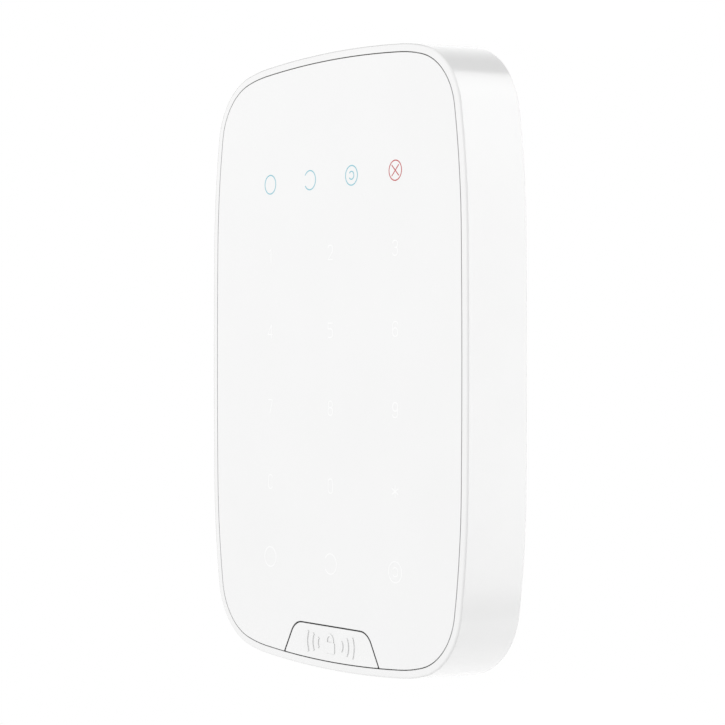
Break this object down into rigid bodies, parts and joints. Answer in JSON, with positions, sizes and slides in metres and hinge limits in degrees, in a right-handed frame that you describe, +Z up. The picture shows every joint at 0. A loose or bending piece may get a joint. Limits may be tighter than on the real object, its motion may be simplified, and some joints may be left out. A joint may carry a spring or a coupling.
{
  "type": "alarm keypad panel",
  "caption": "Slim rounded touch keypad for a wall: a drafted rim holds a flush front with ring icons and a number pad, and slides down onto a hooked bracket.",
  "frame": {"origin": "centre of the bracket's back face, on the wall plane", "axes": "+Z up, +Y into the wall, the touch front faces -Y, +X to the right of a viewer who faces the front"},
  "size_m": [0.1032, 0.0173, 0.15],
  "materials": {
    "white_moulding": "fine satin moulded surface",
    "front_panel": "smooth matt panel with a soft sheen",
    "badge": "smooth satin moulded surface",
    "bonding_foam": "matt grey foam tape",
    "sensor_film": "clear film with fine traces",
    "diffuser": "milky sheet",
    "baffle": "opaque white moulding",
    "circuit_board": "green solder mask",
    "black_component": "matt moulded epoxy",
    "led_case": "yellowish phosphor over white case",
    "tinned_steel": "tinned sheet",
    "screw_steel": "zinc plated",
    "capacitor_can": "bright drawn can",
    "cell_case": "printed sleeve with bare metal ends",
    "spring_steel": "nickel plated wire",
    "grey_button": "fine matt moulded surface",
    "label_film": "matt silver-grey film"
  },
  "bodies": {
    "bracket": {"mounting_bracket": "white_moulding"},
    "keypad": {"housing": "white_moulding", "touch_panel": "front_panel", "panel_adhesive_ring": "bonding_foam", "badge_plate": "badge", "rear_cover": "white_moulding", "cover_screws": "screw_steel", "rating_label": "label_film", "touch_sensor_film": "sensor_film", "film_connector": "black_component", "diffuser_sheet": "diffuser", "light_baffle": "baffle", "key_leds": "led_case", "status_leds": "led_case", "main_board": "circuit_board", "board_screws": "screw_steel", "controller_chip": "black_component", "radio_shield": "tinned_steel", "antenna": "tinned_steel", "sounder": "black_component", "reservoir_capacitor": "capacitor_can", "small_components": "black_component", "tamper_switch": "black_component", "power_switch": "black_component", "battery_tray_left": "white_moulding", "battery_tray_right": "white_moulding", "tamper_spring": "spring_steel", "battery_upper_left": "cell_case", "battery_plate_upper_left": "tinned_steel", "battery_spring_upper_left": "spring_steel", "battery_upper_right": "cell_case", "battery_plate_upper_right": "tinned_steel", "battery_spring_upper_right": "spring_steel", "battery_lower_left": "cell_case", "battery_plate_lower_left": "tinned_steel", "battery_spring_lower_left": "spring_steel", "battery_lower_right": "cell_case", "battery_plate_lower_right": "tinned_steel", "battery_spring_lower_right": "spring_steel"},
    "tamper_plunger": {"tamper_plunger": "white_moulding"},
    "power_button": {"power_button": "grey_button"}
  },
  "joints": [
    {"name": "keypad_slide", "type": "slide", "parent": "bracket", "child": "keypad", "axis": [0, 0, 1], "range_m": [0, 0.008]},
    {"name": "tamper_release", "type": "slide", "parent": "keypad", "child": "tamper_plunger", "axis": [0, 1, 0], "range_m": [0, 0.0012], "stiffness_N_per_m": 150, "springref_m": 0.004, "deforming": ["tamper_spring"]},
    {"name": "power_press", "type": "slide", "parent": "keypad", "child": "power_button", "axis": [0, -1, 0], "range_m": [0, 0.0006], "stiffness_N_per_m": 400}
  ],
  "couplings": [
    {"joint": "tamper_release", "follows": "keypad_slide", "ratio": 0.15}
  ]
}
